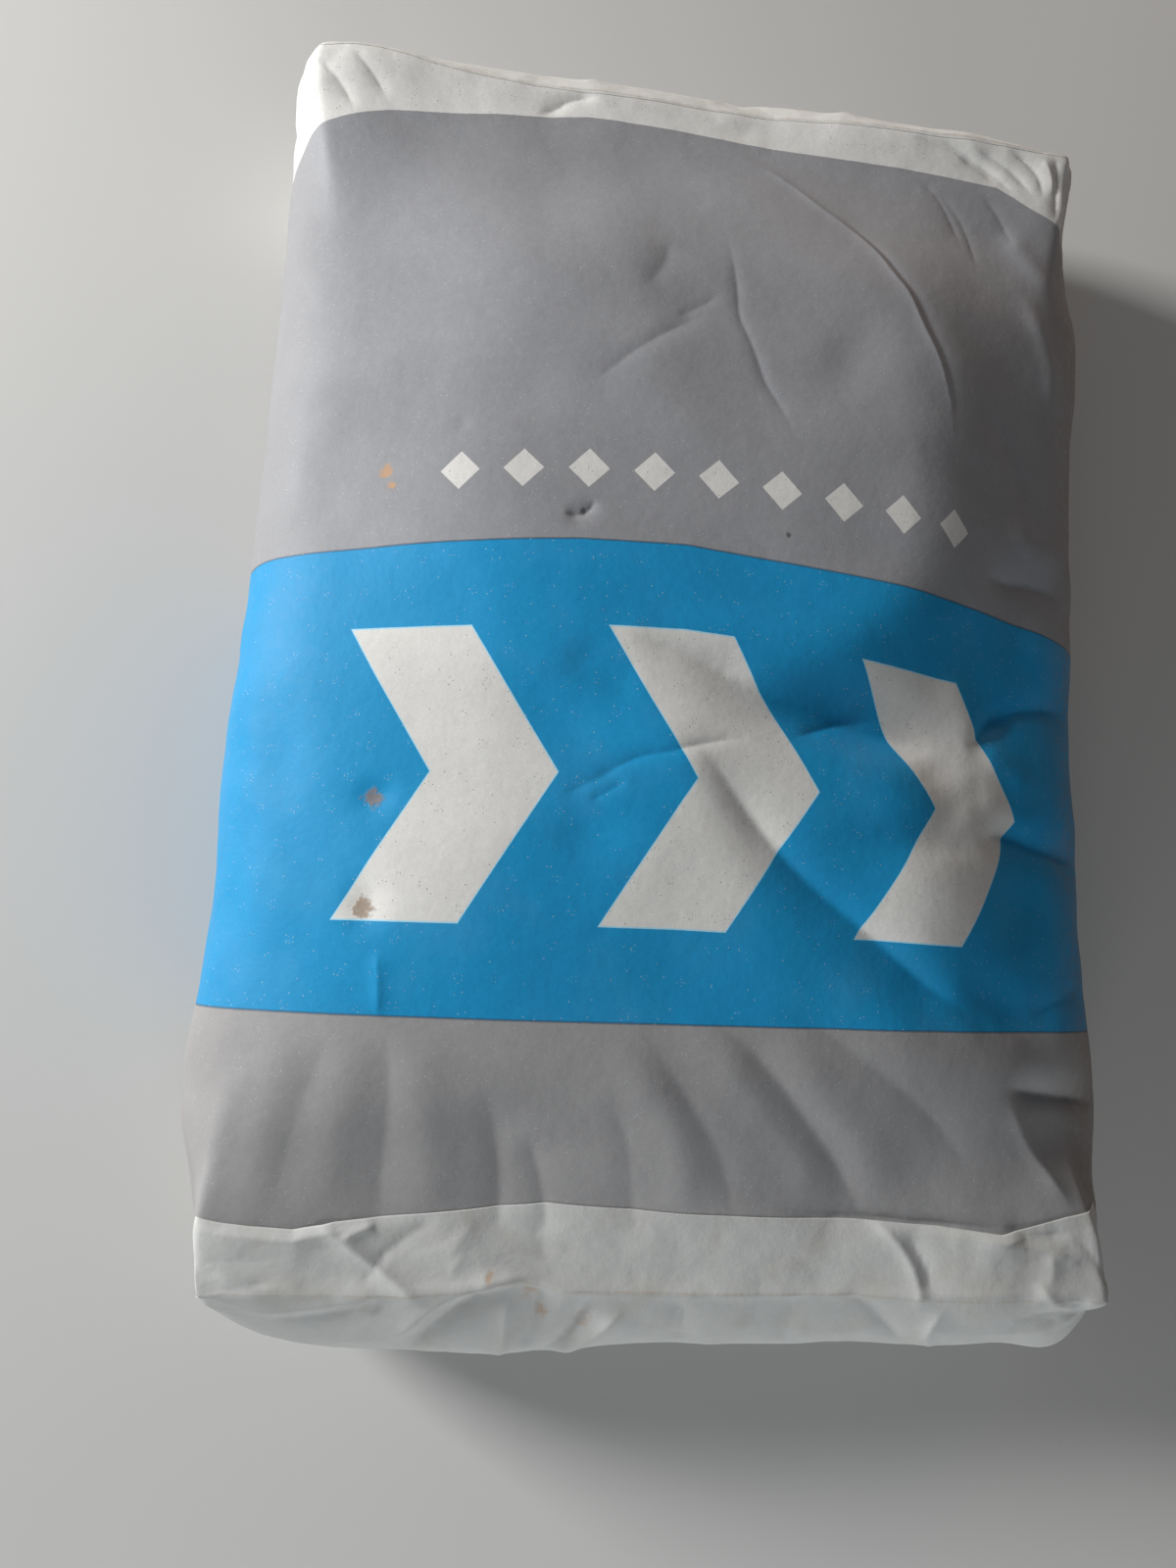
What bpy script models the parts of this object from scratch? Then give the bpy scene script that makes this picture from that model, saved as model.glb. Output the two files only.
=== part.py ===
"""A filled paper valve sack of cement, lying flat on the floor.

The sack is a pasted paper tube with block ends. A cap sheet is glued over each end and folded onto both
panels, and the mouth of the filling valve shows at one corner. X runs across the bag, Y along it towards
the valve end, and Z up. The origin is on the floor, under the middle of the bag.
"""

import math

import bmesh
import bpy
from mathutils import Vector

# The filled bag, in metres
BAG_WIDTH = 0.405  # across the widest line of the two sides, before the cement settles
BAG_HEIGHT = 0.125  # from the floor to the crown of the upper panel
BODY_LENGTH = 0.535  # from the folds of one block end to those of the other
SIDE_HEIGHT = 0.054  # height of the widest line above the floor

# The block ends
END_WIDTH = 0.366  # from corner to corner along a fold
END_FOLD_TOP = 0.089  # height of the fold between the upper panel and the end
END_FOLD_BOTTOM = 0.008  # height of the fold between the lower panel and the end
END_SWELL = 0.027  # how far the end bulges out past its folds
END_EDGE_SWELL = 0.011  # how far an upright edge of the end bulges sideways

# The lower panel lies flat on the floor in the middle and lifts towards the ends
FOOT_LENGTH = 0.380

# The cement has settled away from the long sides: (share of the half length, how far the side is drawn in)
RIGHT_SETTLING = [(-1.0, 0.0), (-0.75, 0.004), (-0.45, 0.0095), (-0.1, 0.012), (0.3, 0.0095), (0.7, 0.005), (1.0, 0.0)]
LEFT_SETTLING = [(-1.0, 0.0), (-0.75, -0.0045), (-0.45, 0.002), (0.0, 0.005), (0.4, 0.008), (0.8, 0.007), (1.0, 0.0)]
SHOULDER_DROP = 1.2  # the shoulder over the side goes down by this share of that

# One corner of the valve end stands out as an ear
EAR_REACH = 0.014
EAR_SPREAD = 0.004
EAR_LIFT = 0.006
EAR_RADIUS = 0.055

# The cap sheets: paper and the glued flaps under it
CAP_OVERLAP = 0.036  # how far a cap is folded onto a panel
CAP_MARGIN = 0.005  # bare strip between a cap's side edge and the corner of the end
CAP_THICKNESS = 0.0008
GLUE_GAP = 0.0005  # clearance between a sheet and what it is glued to

# The valve's flattened mouth, which reaches past the corner of the end
MOUTH_HEIGHT = 0.050
MOUTH_REACH = 0.003
MOUTH_THICKNESS = 0.0010

# Shape of the sections: powers of the superellipses, and of the way they change along the bag
UPPER_POWER = 2.9
LOWER_POWER = 4.0
FOOT_SQUASH = 1.12  # the lower half is this much too deep, and the floor flattens it
CROWN_POWER = 2.6
SQUARING_START = 0.60  # share of the half length where the tube starts to turn square
SQUARING_POWER = 1.8
END_SWELL_POWER = 5

# Mesh: steps across a panel, up a side, and along the bag between the caps
STEPS_ACROSS = 20
STEPS_UP = 8
STEPS_ALONG = 16
STEPS_ON_OVERLAP = 3
STEPS_ON_SHORT_OVERLAP = 1  # where the valve cap is folded onto the upper panel
STEPS_UP_MOUTH = 4
PROFILE_STEPS = 120

HALF_BODY = BODY_LENGTH / 2
HALF_END = END_WIDTH / 2
END_MIDDLE = (END_FOLD_TOP + END_FOLD_BOTTOM) / 2
HALF_END_HEIGHT = (END_FOLD_TOP - END_FOLD_BOTTOM) / 2


def clear_scene():
    for thing in list(bpy.data.objects):
        bpy.data.objects.remove(thing)


def paper(name, colour, roughness):
    material = bpy.data.materials.new(name)
    material.use_nodes = True
    shader = material.node_tree.nodes["Principled BSDF"]
    shader.inputs["Base Color"].default_value = (*colour, 1.0)
    shader.inputs["Roughness"].default_value = roughness
    shader.inputs["Metallic"].default_value = 0.0
    return material


def even(first, last, steps):
    """Numbers from first to last in equal steps, both ends included."""
    return [first + (last - first) * step / steps for step in range(steps + 1)]


def columns():
    """Places across a panel, from -1 to 1 at its folds, with a cap's side edges on two of them."""
    edge = 1 - CAP_MARGIN / HALF_END
    return [-1.0, *even(-edge, edge, STEPS_ACROSS - 2), 1.0]


def stations():
    """Places along the body, from -1 to 1 at the ends' folds, with the caps' edges on two of them."""
    edge = 1 - CAP_OVERLAP / HALF_BODY
    overlap = even(edge, 1.0, STEPS_ON_OVERLAP)
    return [*(-place for place in reversed(overlap)), *even(-edge, edge, STEPS_ALONG)[1:-1], *overlap]


def rows():
    """Places up a side or an end, from -1 at its lower fold to 1 at its upper."""
    return even(-1.0, 1.0, STEPS_UP)


COLUMNS = columns()
STATIONS = stations()
ROWS = rows()
LAST_COLUMN = len(COLUMNS) - 1
LAST_STATION = len(STATIONS) - 1
LAST_ROW = len(ROWS) - 1


def quarter_outline(half_width, rise, power):
    """Points of a superellipse from its widest point to its crown, as (out, up, length so far)."""
    outline = [(half_width, 0.0, 0.0)]
    for step in range(1, PROFILE_STEPS + 1):
        turn = math.pi / 2 * step / PROFILE_STEPS
        out = half_width * max(math.cos(turn), 0.0) ** (2 / power)
        up = rise * math.sin(turn) ** (2 / power)
        last_out, last_up, length = outline[-1]
        outline.append((out, up, length + math.hypot(out - last_out, up - last_up)))
    return outline


def at_length(outline, length):
    """The point (out, up) of an outline at a length along it."""
    for before, after in zip(outline, outline[1:]):
        if after[2] >= length:
            share = (length - before[2]) / (after[2] - before[2])
            return tuple(before[axis] + share * (after[axis] - before[axis]) for axis in (0, 1))
    return outline[-1][:2]


def crown_height(reach):
    """Height of the upper panel's middle. reach is 0 in the middle of the bag and 1 at the end folds."""
    return END_FOLD_TOP + (BAG_HEIGHT - END_FOLD_TOP) * (1 - reach**CROWN_POWER)


def lift(reach):
    """How far the lower panel is off the floor."""
    flat = FOOT_LENGTH / BODY_LENGTH
    return END_FOLD_BOTTOM * max(0.0, (reach - flat) / (1 - flat)) ** 2


def squareness(reach):
    return max(0.0, (reach - SQUARING_START) / (1 - SQUARING_START)) ** SQUARING_POWER


def tube_point(across, up, reach):
    """(x, z) on the tube's section, at places across a panel and up a side, of which one is -1 or 1."""
    upper = up > 0
    floor = lift(reach)
    if upper:
        outline = quarter_outline(BAG_WIDTH / 2, crown_height(reach) - SIDE_HEIGHT, UPPER_POWER)
    else:
        outline = quarter_outline(BAG_WIDTH / 2, (SIDE_HEIGHT - floor) * FOOT_SQUASH, LOWER_POWER)
    whole = outline[-1][2]
    side = HALF_END_HEIGHT + END_EDGE_SWELL / 2
    length = side * abs(up) if abs(across) == 1 else side + (whole - side) * (1 - abs(across))
    out, rise = at_length(outline, length)
    round_x = math.copysign(out, across)
    round_z = SIDE_HEIGHT + rise if upper else max(SIDE_HEIGHT - rise, floor)
    square_x, _, square_z = end_point(across, up)
    if abs(across) < 1:
        square_x = across * HALF_END
    share = squareness(reach)
    return round_x + share * (square_x - round_x), round_z + share * (square_z - round_z)


def end_point(across, up):
    """(x, out, z) on a block end, with out the distance past its folds."""
    x = across * (HALF_END + END_EDGE_SWELL * (1 - up**2))
    out = END_SWELL * (1 - up**2) * (1 - abs(across) ** END_SWELL_POWER)
    return x, out, END_MIDDLE + up * HALF_END_HEIGHT


def smooth_step(value, low, high):
    """0 below low, 1 above high, and an even curve between them."""
    share = min(max((value - low) / (high - low), 0.0), 1.0)
    return share * share * (3 - 2 * share)


def drawn_in(settling, along):
    """How far a side is drawn in at a place along the body."""
    for before, after in zip(settling, settling[1:]):
        if after[0] >= along:
            share = (along - before[0]) / (after[0] - before[0])
            return before[1] + share * (after[1] - before[1])
    return settling[-1][1]


def settled(point, along):
    """The point, drawn in and lowered where the cement has settled away from the long sides."""
    pull = drawn_in(RIGHT_SETTLING if point.x > 0 else LEFT_SETTLING, along)
    out = abs(point.x) / (BAG_WIDTH / 2)
    inward = pull * smooth_step(out, 0.35, 0.95)
    down = pull * SHOULDER_DROP * smooth_step(out, 0.4, 0.8) * smooth_step(point.z / BAG_HEIGHT, 0.2, 0.5)
    return point - Vector((inward * math.copysign(1, point.x), 0, down))


def with_ear(point):
    """The point, pulled out where it is near the upper left corner of the valve end."""
    corner = Vector((-HALF_END, HALF_BODY, END_FOLD_TOP))
    pull = math.exp(-(((point - corner).length / EAR_RADIUS) ** 2))
    return point + pull * Vector((-EAR_SPREAD, EAR_REACH, EAR_LIFT))


def surface_point(column, station, row):
    """The bag's surface at three numbered places, of which at least one is the first or last of its kind."""
    across = COLUMNS[column]
    along = STATIONS[station]
    up = ROWS[row]
    if station in (0, LAST_STATION):
        x, out, z = end_point(across, up)
        return with_ear(Vector((x, along * (HALF_BODY + out), z)))
    x, z = tube_point(across, up, abs(along))
    return with_ear(settled(Vector((x, along * HALF_BODY, z)), along))


def grid_squares(last_first, last_second):
    """The four corners of each square of a grid, counter-clockwise."""
    return [
        [(first, second), (first + 1, second), (first + 1, second + 1), (first, second + 1)]
        for first in range(last_first)
        for second in range(last_second)
    ]


def box_faces():
    """The sack's four-sided faces. Each lists its corners as (column, station, row), in order, facing out."""
    faces = []
    for square in grid_squares(LAST_COLUMN, LAST_STATION):
        faces.append([(column, station, LAST_ROW) for column, station in square])
        faces.append([(column, station, 0) for column, station in reversed(square)])
    for square in grid_squares(LAST_STATION, LAST_ROW):
        faces.append([(LAST_COLUMN, station, row) for station, row in square])
        faces.append([(0, station, row) for station, row in reversed(square)])
    for square in grid_squares(LAST_COLUMN, LAST_ROW):
        faces.append([(column, 0, row) for column, row in square])
        faces.append([(column, LAST_STATION, row) for column, row in reversed(square)])
    return faces


def mesh_object(name, places, faces, material):
    """An object from a dictionary of places, by corner, and faces that list those corners."""
    mesh = bpy.data.meshes.new(name)
    bm = bmesh.new()
    corner = {key: bm.verts.new(place) for key, place in places.items()}
    for face in faces:
        bm.faces.new([corner[key] for key in face])
    bmesh.ops.triangulate(bm, faces=bm.faces[:], quad_method="FIXED")
    bm.to_mesh(mesh)
    bm.free()
    mesh.materials.append(material)
    mesh.shade_smooth()
    mesh.set_sharp_from_angle(angle=math.radians(40))
    thing = bpy.data.objects.new(name, mesh)
    bpy.context.scene.collection.objects.link(thing)
    return thing


def thicken(sheet, thickness):
    """Gives a sheet its thickness, away from what it lies on."""
    solid = sheet.modifiers.new("thickness", "SOLIDIFY")
    solid.thickness = thickness
    solid.offset = 1.0
    solid.use_even_offset = False


def build_sack(material):
    """The tube and its ends. It returns the place of each corner, and which way the surface faces there."""
    faces = box_faces()
    places = {corner: surface_point(*corner) for face in faces for corner in face}
    sack = mesh_object("sack", places, faces, material)
    normals = {corner: vertex.normal.copy() for corner, vertex in zip(places, sack.data.vertices)}
    return places, normals


def build_cap(name, end_station, steps_on_top, places, normals, material):
    """The sheet over one end: the end's face and a strip of each panel, without the outermost columns."""

    def covered(corner):
        column, station, row = corner
        steps = steps_on_top if row == LAST_ROW else STEPS_ON_OVERLAP
        return 0 < column < LAST_COLUMN and abs(station - end_station) <= steps

    faces = [face for face in box_faces() if all(covered(corner) for corner in face)]
    used = {corner for face in faces for corner in face}
    raised = {
        corner: place + GLUE_GAP * normals[corner] for corner, place in places.items() if corner in used
    }
    thicken(mesh_object(name, raised, faces, material), CAP_THICKNESS)


def build_valve_mouth(material):
    """The flattened mouth of the valve sleeve, between the valve cap's right edge and the end's corner."""
    half_rows = MOUTH_HEIGHT / 2 / HALF_END_HEIGHT
    beside_cap = 1 - (CAP_MARGIN - 2 * GLUE_GAP) / HALF_END
    places = {}
    y = HALF_BODY + 2 * GLUE_GAP
    for level, up in enumerate(even(-half_rows, half_rows, STEPS_UP_MOUTH)):
        inner_x, inner_out, z = end_point(beside_cap, up)
        corner_x, _, _ = end_point(1.0, up)
        places[0, level] = Vector((inner_x, y + inner_out, z))
        places[1, level] = Vector((corner_x, y, z))
        places[2, level] = Vector((corner_x + MOUTH_REACH, y, z))
    faces = [list(reversed(square)) for square in grid_squares(2, STEPS_UP_MOUTH)]
    thicken(mesh_object("valve_mouth", places, faces, material), MOUTH_THICKNESS)


def centre_on_box():
    """Puts the origin under the middle of the whole bag, on the floor."""
    points = [thing.matrix_world @ Vector(corner) for thing in bpy.data.objects for corner in thing.bound_box]
    for axis in (0, 1):
        values = [point[axis] for point in points]
        for thing in bpy.data.objects:
            thing.location[axis] -= (min(values) + max(values)) / 2


def main():
    clear_scene()
    printed = paper("printed_paper", (0.165, 0.165, 0.175), 0.55)
    bleached = paper("bleached_paper", (0.62, 0.61, 0.57), 0.7)
    kraft = paper("kraft_paper", (0.45, 0.33, 0.21), 0.75)
    places, normals = build_sack(printed)
    build_cap("base_cap", 0, STEPS_ON_OVERLAP, places, normals, bleached)
    build_cap("valve_cap", LAST_STATION, STEPS_ON_SHORT_OVERLAP, places, normals, bleached)
    build_valve_mouth(kraft)
    bpy.context.view_layer.update()
    centre_on_box()


main()
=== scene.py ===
"""The looks of a filled paper valve sack of cement.

The sack starts as the frame's shape, drawn over the flat paper it was folded from. A cloth simulation then
presses the cement's volume against the paper, and the folds, dents and crumples come on top of that.
Every place on the bag has paper coordinates: where it was on the box that the empty sack folds into. The
print, the folds and the wear are all laid out in them.
"""

import math
from functools import partialmethod
from itertools import product

import bmesh
import bpy
import numpy as np
from mathutils import Matrix, Vector
from mathutils.bvhtree import BVHTree
from mathutils.geometry import delaunay_2d_cdt
from mathutils.interpolate import poly_3d_calc


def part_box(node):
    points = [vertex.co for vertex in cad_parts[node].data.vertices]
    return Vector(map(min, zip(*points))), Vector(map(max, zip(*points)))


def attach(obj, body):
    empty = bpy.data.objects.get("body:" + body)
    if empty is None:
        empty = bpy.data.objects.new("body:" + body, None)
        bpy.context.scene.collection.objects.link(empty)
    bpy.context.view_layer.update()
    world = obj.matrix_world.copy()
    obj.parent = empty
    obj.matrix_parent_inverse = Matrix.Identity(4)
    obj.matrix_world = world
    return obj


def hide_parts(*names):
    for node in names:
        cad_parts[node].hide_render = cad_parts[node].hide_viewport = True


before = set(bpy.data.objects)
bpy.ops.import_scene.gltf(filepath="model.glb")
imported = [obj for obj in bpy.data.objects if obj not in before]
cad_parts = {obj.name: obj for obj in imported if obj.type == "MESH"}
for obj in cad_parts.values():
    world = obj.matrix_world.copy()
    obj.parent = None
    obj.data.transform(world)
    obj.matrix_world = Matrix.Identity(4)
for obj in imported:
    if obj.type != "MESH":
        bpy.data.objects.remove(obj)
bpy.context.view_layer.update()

MM = 0.001

# The filled bag: its box from the frame, then its ends and its section
SACK_LOW, SACK_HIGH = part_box("sack")
CAP_LOW, CAP_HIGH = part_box("base_cap")
MIDDLE = (CAP_LOW.x + CAP_HIGH.x) / 2
HALF_WIDTH = 202.5 * MM
CROWN = SACK_HIGH.z
END_SWELL = 27 * MM
HALF_BODY = -SACK_LOW.y - END_SWELL
HALF_END = 183 * MM
FOLD_TOP = 89 * MM
FOLD_BOTTOM = 8 * MM
SIDE_HEIGHT = 54 * MM
EDGE_SWELL = 11 * MM
FOOT_SHARE = 0.71
FOOT_DEPTH = 1.12
SQUARE_FROM = 0.62
TOP_POWER = 2.9
FOOT_POWER = 4.0
CROWN_POWER = 2.6
NEAR_END_POWER = 9
FAR_END_POWER = 5

# The corner of the valve end that stands out as an ear, and its move in millimetres
EAR = np.array([-HALF_END, HALF_BODY, FOLD_TOP])
EAR_REACH = 55 * MM
EAR_MOVE = (-1, 12, -2)

# The paper: the empty sack folds into a box of this width, length and height
PAPER = np.array([366, 541, 110]) * MM
HALF_PANEL, HALF_TUBE, HALF_BLOCK = PAPER / 2 / MM

# How far each long side is drawn in along the bag: (y, right side, left side), in millimetres like all tables
SETTLING = [(-270, 0, 0), (-235, 1, -3), (-200, 6, -4), (-157, 12, 1), (-120, 15, 3), (-80, 18, 4),
            (-30, 19, 5), (30, 18, 10), (80, 15, 12), (130, 12, 12), (190, 8, 10), (235, 3, 5), (270, 0, 0)]
SETTLED_IN = 0.62
SETTLED_DOWN = 0.75

# Where the right shoulder sags furthest towards the middle
SAG_PLACE = -22 * MM
SAG_LENGTH = 34 * MM

# How far the near end's top fold is pushed in: (u, distance)
NEAR_FOLD = [(-183, 1), (-173, 3), (-107, 5), (-85, 7), (-63, 10), (-46, 6), (0, 5), (71, 4), (105, 2),
             (165, 2), (183, 0)]
NEAR_FOLD_REACH = 20

# Corners of the top panel pulled out of shape: (place on the paper box, weight of a distance along the bag,
# reach, move)
PULLED_CORNERS = [
    ((-183, 270.5, 55), 1, 20, (3, -3.5, -1)),
    ((-183, -242, 55), 0.6, 26, (-8.5, 0, 1)),
]

# The folds below are on the unrolled sheet, where u runs across the bag and v along it, in millimetres:
# (height of a ridge or depth of a valley, width, points)
SOFT_FOLDS = [
    (0.9, 9, [(-167, -158), (-168, -178), (-167, -203), (-163, -245)]),
    (0.8, 9, [(-136, -160), (-140, -183), (-144, -209), (-143, -245)]),
    (1, 10, [(-115, -160), (-112, -189), (-106, -215), (-104, -245)]),
    (0.9, 8, [(-36, -162), (-20, -182), (-4, -203), (2, -240)]),
    (1.2, 9, [(-6, -155), (21, -181), (40, -200), (53, -217), (62, -242)]),
    (1.3, 11, [(28, -160), (50, -184), (72, -205), (92, -230)]),
    (2.8, 13, [(-34, -36), (-14, -52), (7, -69), (19, -83), (33, -97), (48, -110), (63, -120), (78, -131),
               (98, -150)]),
    (1.5, 8, [(140, 70), (150, 64), (161, 59), (196, 60)]),
    (1.2, 6, [(160, 185), (170, 176), (179, 157), (180, 125)]),
    (-1.2, 7, [(132, 118), (140, 108), (150, 100), (160, 76)]),
    (1.2, 6, [(152, 226), (162, 214), (175, 202), (188, 190)]),
    (1.2, 9, [(-28, 2), (4, 3), (25, 1), (50, -2), (72, -5), (96, -8)]),
    (0.9, 9, [(106, -4), (116, -16), (124, -27), (128, -40)]),
    (1.3, 8, [(122, -64), (138, -62), (152, -66), (170, -72)]),
    (1.2, 8, [(127, -36), (140, -41), (152, -46), (164, -58)]),
    (-2.8, 12, [(-10, -50), (6, -66), (24, -90), (44, -108), (66, -124), (92, -144), (124, -160)]),
    (-1.1, 12, [(98, -42), (102, -52), (106, -62), (116, -74)]),
    (-1, 9, [(108, -142), (120, -147), (150, -150), (186, -148)]),
    (-1.2, 14, [(-148, 120), (-120, 105), (-95, 100), (-60, 102)]),
    (0.9, 16, [(-60, 200), (-40, 170), (-30, 140), (-25, 90)]),
    (-0.9, 10, [(-60, -8), (-50, -18), (-40, -24), (-28, -26)]),
]
SHARP_FOLDS = [
    (-1, 5, [(-36, -6), (-20, -8), (-6, -11), (20, -18)]),
    (-2.6, 9, [(-38, -3), (-18, -8), (0, -15), (20, -23), (50, -31), (80, -36), (112, -42)]),
    (-1.6, 3, [(36, -233), (71, -235.5), (100, -237.5), (120, -239), (143, -241)]),
    (-0.7, 9, [(-146, -160), (-153, -183), (-158, -200), (-160, -245)]),
    (-0.9, 8, [(-128, -156), (-123, -182), (-123, -202), (-124, -215), (-121, -248)]),
    (-1.9, 10, [(-86, -183), (-83, -195), (-79, -208), (-74, -250)]),
    (-1.3, 7, [(-68, -200), (-66, -208), (-60, -222), (-55, -248)]),
    (-1.1, 11, [(-36, -182), (-33, -193), (-26, -206), (-19, -248)]),
    (-1, 8, [(-26, -158), (-4, -187), (13, -210), (24, -244)]),
    (-2.3, 12, [(-4, -152), (14, -162), (32, -178), (51, -200), (64, -214), (82, -246)]),
    (-1.7, 13, [(28, -148), (55, -161), (76, -175), (100, -190), (118, -206), (130, -225)]),
    (-5, 13, [(-18, -36), (0, -54), (12, -70), (26, -86), (42, -101), (60, -114), (78, -127), (98, -140),
                (122, -152), (150, -166)]),
    (-0.9, 1.8, [(-50, -64), (-37, -57), (-29, -53), (-18, -51), (-6, -47), (7, -44), (17, -43)]),
    (-0.8, 1.7, [(32, -42), (46, -36), (56, -32), (68, -30), (77, -31)]),
    (-0.5, 1.4, [(-50, -73), (-42, -68), (-34, -63)]),
    (-2, 4, [(119, -38), (129, -32), (142, -26), (158, -21)]),
    (-5, 8, [(124, -34), (136, -26), (150, -19), (172, -15), (200, -13)]),
    (-5.5, 8, [(122, -79), (137, -75), (150, -75), (167, -79), (188, -82), (214, -85)]),
    (-2.6, 6, [(126, 41), (142, 39), (159, 41), (191, 40)]),
    (-5.5, 6, [(138, -180), (150, -183), (162, -185), (180, -186), (214, -190)]),
    (2.2, 6, [(142, -180), (145, -186), (148, -194), (156, -207), (167, -220), (176, -236)]),
    (-1.2, 5, [(156, -152), (168, -148), (180, -144), (200, -138)]),
    (0.7, 1.5, [(-16, 248), (4, 243), (21, 240), (34, 234), (54, 215), (66, 205), (78, 191), (84, 178),
                (91, 168), (96, 151), (102, 139), (106, 126), (109, 112), (109, 92)]),
    (-0.5, 1.8, [(58, 218), (70, 206), (82, 192), (89, 178), (96, 167), (101, 151), (107, 138), (111, 125),
                 (113, 105)]),
    (-0.4, 1.6, [(112, 242), (127, 228), (134, 215), (137, 196)]),
    (-0.6, 1.6, [(5, 190), (9, 159), (9, 145), (13, 136), (17, 125), (20, 114), (27, 102), (31, 93),
                 (33, 84)]),
    (-0.5, 2.5, [(-20, 139), (-10, 146), (2, 155)]),
    (-0.7, 3, [(-4, 145), (-30, 127), (-45, 114), (-56, 103)]),
    (-0.8, 5, [(-21, 180), (-25, 163), (-34, 153)]),
    (-1.3, 2, [(-64, 46), (-58, 45), (-54, 47), (-50, 53)]),
    (-1.6, 3, [(-82, 253), (-72, 258), (-66, 264), (-50, 268)]),
    (0.9, 2.5, [(-130, -132), (-129, -147), (-129, -160)]),
    (-0.6, 2.5, [(-61, -71), (-48, -64), (-36, -58)]),
    (-0.8, 2.2, [(98, 268), (118, 264), (138, 258), (156, 250)]),
    (-0.9, 2, [(110, 270), (132, 261), (148, 251), (158, 243)]),
    (-0.8, 2, [(124, 261), (138, 255), (147, 248)]),
    (-1.1, 2.2, [(132, 266), (148, 260), (160, 252), (166, 244)]),
    (-1, 2, [(150, 268), (163, 261), (170, 252), (171, 243)]),
    (-1.3, 2.2, [(174, 270), (177, 260), (178, 248), (181, 232)]),
    (0.9, 2, [(168, 266), (174, 257), (176, 247)]),
    (-1.6, 3, [(182, 268), (188, 254), (192, 240), (194, 222)]),
    (-1.3, 3, [(198, 262), (203, 245), (206, 225)]),
    (-0.5, 1.8, [(100, 246), (112, 240), (121, 228), (130, 208)]),
    (-0.6, 2.2, [(138, 242), (150, 231), (160, 214)]),
    (-1, 2.6, [(-184, 262), (-172, 250), (-166, 236)]),
    (-0.9, 2.6, [(-168, 268), (-156, 256), (-150, 244)]),
]

# Dents: (depth, radius along its turn, radius across it, turn in degrees, place)
DENTS = [
    (1.4, 26, 12, -20, (16, -24)),
    (6, 36, 15, -5, (54, -31)),
    (3.2, 26, 14, -8, (94, -38)),
    (2.6, 34, 10, 2, (98, -80)),
    (6.5, 26, 20, -30, (184, -205)),
    (2.2, 22, 16, 40, (150, -108)),
    (3, 26, 11, -28, (140, -148)),
    (1.6, 14, 11, 0, (-48, -86)),
    (1.3, 24, 12, -30, (-62, -40)),
    (1.6, 8, 6, 20, (-134, -73)),
    (1.8, 7, 9, 0, (-136, -116)),
    (0.6, 3, 3, 0, (-109, 84)),
    (1.4, 18, 12, 60, (60, 130)),
    (1.2, 30, 16, 10, (-70, 210)),
    (1.6, 20, 12, -70, (150, 20)),
    (1.5, 26, 14, 80, (-170, 60)),
    (1.3, 22, 12, 90, (-176, -60)),
    (-7.5, 14, 28, 0, (161, -312)),
    (-1.2, 24, 12, -8, (158, -172)),
]

# The cover sheets' free edges on the top panel: (u, distance from the fold), and how far they stand up there,
# LIFT at the edge itself and LIP in a strip beside it. The far sheet lies flat
NEAR_EDGE = [(-206, 34), (-183, 33), (-174, 31), (-165, 29.8), (-152, 28.6), (-139, 32), (-117, 34.5),
             (-106, 35.5), (-56, 39.5), (0, 36.5), (71, 33.5), (110, 31), (137, 28), (149, 30.5), (170, 35),
             (203, 40)]
NEAR_LIFT = [(-200, 0), (-60, 0.1), (60, 0.1), (100, 0.6), (137, 1.2), (155, 0.5), (205, 0.1)]
NEAR_LIP = [(-200, 0.6), (-182, 1), (-172, 2.2), (-150, 2.6), (-139, 1.2), (-125, 0.5), (-60, 0.2),
            (60, 0.2), (85, 1.2), (130, 2.2), (140, 1.6), (148, 0.3), (205, 0.1)]
FAR_EDGE = [(-183, 1), (-150, 0.6), (-75, 1.2), (-50, 1.8), (-20, 1), (20, 1.2), (110, 1.5), (183, 1.5)]
FLAT = [(0, 0)]

# Their left and right sides: (u at the fold, u at the free edge)
NEAR_SIDES = [(-183, -187), (189, 198)]
FAR_SIDES = [(-181, -183), (181, 183)]

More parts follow.
